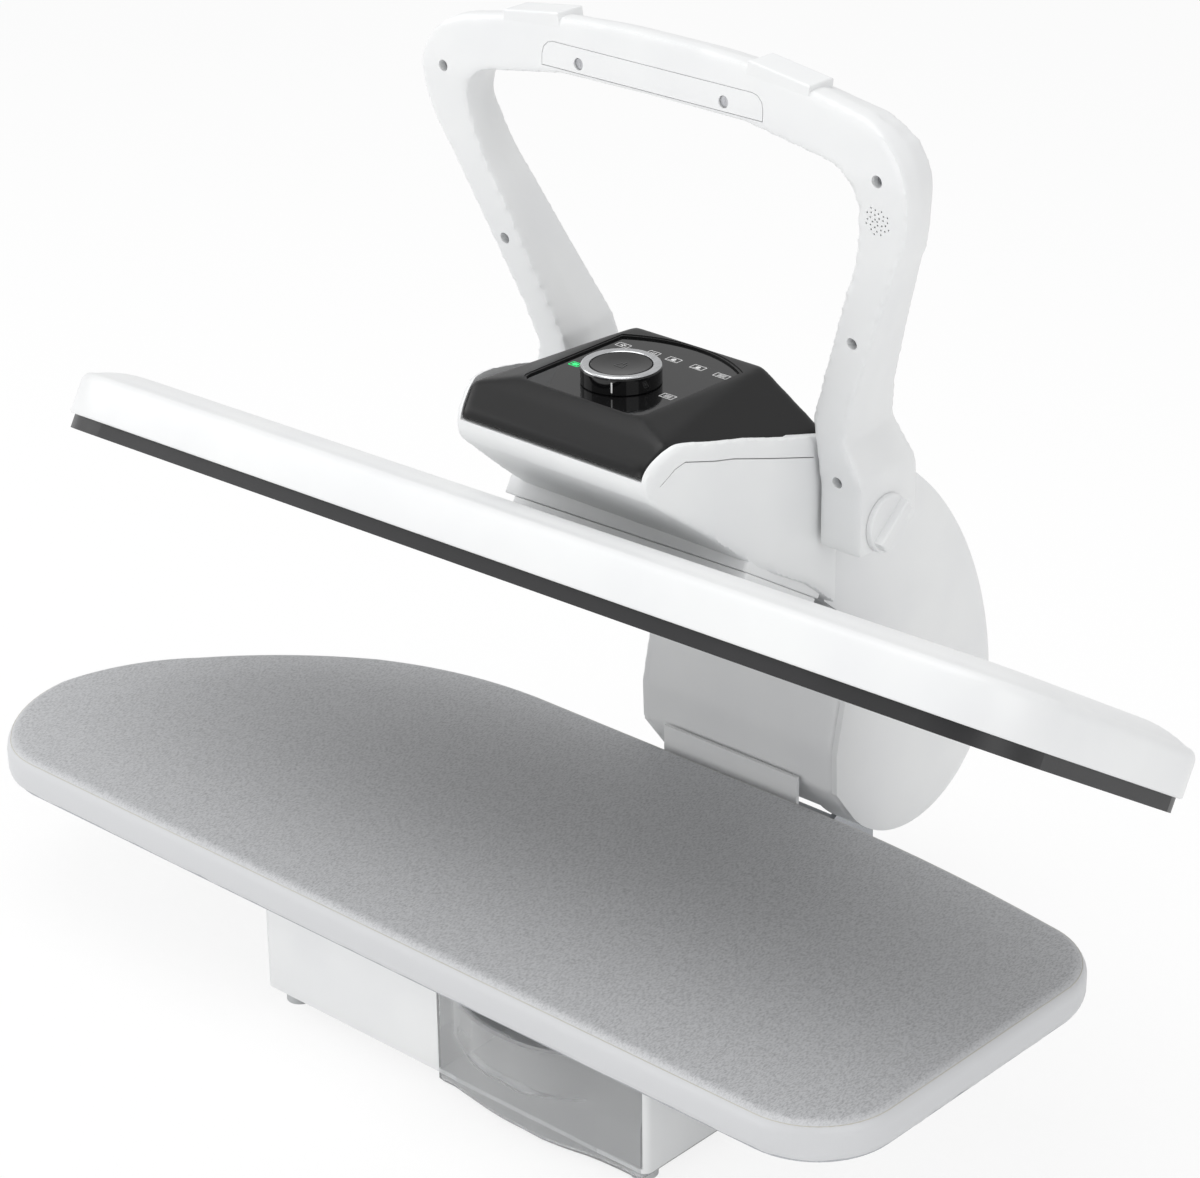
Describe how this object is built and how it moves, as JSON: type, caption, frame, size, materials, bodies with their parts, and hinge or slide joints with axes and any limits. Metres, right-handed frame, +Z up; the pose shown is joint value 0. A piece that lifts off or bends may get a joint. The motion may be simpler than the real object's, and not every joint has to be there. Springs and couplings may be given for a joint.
{
  "type": "steam ironing press",
  "caption": "Open tabletop steam press: padded ironing board, heated shoe on a sprung rear arm with loop handle, dial panel and slide-in water tank.",
  "frame": {"origin": "middle of the bounding box on the table plane under the rubber feet", "axes": "+X to the user's right along the board, +Y from the user to the hinge, +Z up"},
  "size_m": [0.7864, 0.449, 0.6097],
  "materials": {
    "white_plastic": "satin white moulding",
    "black_plastic": "satin black moulding",
    "panel_gloss": "gloss black",
    "dark_plastic": "moulded, hidden",
    "clear_plastic": "clear moulded tank",
    "silver_ring": "bright ring",
    "cover_cloth": "silver-grey coated cloth",
    "felt": "felt pad",
    "rubber": "light grey rubber",
    "steel": "sheet steel",
    "bright_steel": "turned steel",
    "plate_coating": "dark coated aluminium",
    "aluminium": "cast aluminium",
    "circuit_board": "circuit board",
    "insulation": "glass-fibre blanket"
  },
  "bodies": {
    "base": {"base_tray": "white_plastic", "base_cover": "white_plastic", "rubber_feet": "rubber", "board_pan": "steel", "board_pad": "felt", "board_cover": "cover_cloth", "pedestal_frame": "steel", "pedestal_shroud": "white_plastic", "hinge_shaft": "bright_steel", "shaft_clips": "bright_steel", "spring_bobbins": "dark_plastic", "lift_springs": "bright_steel", "water_pump": "dark_plastic", "water_hose": "rubber", "tank_socket": "dark_plastic", "inlet_gland": "dark_plastic", "base_screws": "bright_steel"},
    "tank": {"water_tank": "clear_plastic", "tank_lid": "clear_plastic", "fill_cap": "rubber", "tank_valve": "dark_plastic"},
    "arm": {"arm_shell": "white_plastic", "side_cover_left": "white_plastic", "side_cover_right": "white_plastic", "pod_band": "white_plastic", "cowl": "black_plastic", "control_panel": "panel_gloss", "control_board": "circuit_board", "dial_encoder": "dark_plastic", "neck_skirt": "white_plastic", "arm_frame": "steel", "pivot_pin": "bright_steel", "handle_front": "white_plastic", "handle_back": "white_plastic", "grip_plate": "white_plastic", "handle_screws": "bright_steel", "button_switches": "dark_plastic", "speaker": "dark_plastic", "handle_bolt": "bright_steel"},
    "shoe": {"shoe_cover": "white_plastic", "mount_plate": "white_plastic", "shoe_bracket": "steel", "heat_plate": "plate_coating", "steam_chamber": "aluminium", "heater_element": "bright_steel", "insulation": "insulation"},
    "dial": {"dial_body": "panel_gloss", "dial_ring": "silver_ring"},
    "power_cap": {"power_cap": "panel_gloss"},
    "steam_button_left": {"steam_button_left": "white_plastic"},
    "steam_button_right": {"steam_button_right": "white_plastic"},
    "lock_knob": {"lock_knob": "white_plastic"}
  },
  "joints": [
    {"name": "arm_hinge", "type": "hinge", "parent": "base", "child": "arm", "pos_m": [0.02676, 0.1675, 0.143], "axis": [1, 0, 0], "range_deg": [0, 31.6], "stiffness_Nm_per_rad": 10, "springref_deg": -97.4},
    {"name": "shoe_float", "type": "hinge", "parent": "arm", "child": "shoe", "pos_m": [0.02676, -0.1325, 0.38352], "axis": [0, 0.8514, -0.5246], "range_deg": [0, 2.48]},
    {"name": "tank_slide", "type": "slide", "parent": "base", "child": "tank", "axis": [0, -1, 0], "range_m": [0, 0.14]},
    {"name": "dial_turn", "type": "hinge", "parent": "arm", "child": "dial", "pos_m": [0.02676, -0.0345, 0.415], "axis": [0, 0, 1], "range_deg": [-270, 0]},
    {"name": "power_cap_press", "type": "slide", "parent": "dial", "child": "power_cap", "axis": [0, 0, -1], "range_m": [0, 0.0015], "stiffness_N_per_m": 700},
    {"name": "steam_button_left_press", "type": "slide", "parent": "arm", "child": "steam_button_left", "axis": [0.1386, 0, -0.9903], "range_m": [0, 0.002], "stiffness_N_per_m": 700},
    {"name": "steam_button_right_press", "type": "slide", "parent": "arm", "child": "steam_button_right", "axis": [-0.1386, 0, -0.9903], "range_m": [0, 0.002], "stiffness_N_per_m": 700},
    {"name": "lock_knob_turn", "type": "hinge", "parent": "arm", "child": "lock_knob", "pos_m": [0.15576, 0.0515, 0.3285], "axis": [1, 0, 0], "range_deg": [0, 90]}
  ]
}
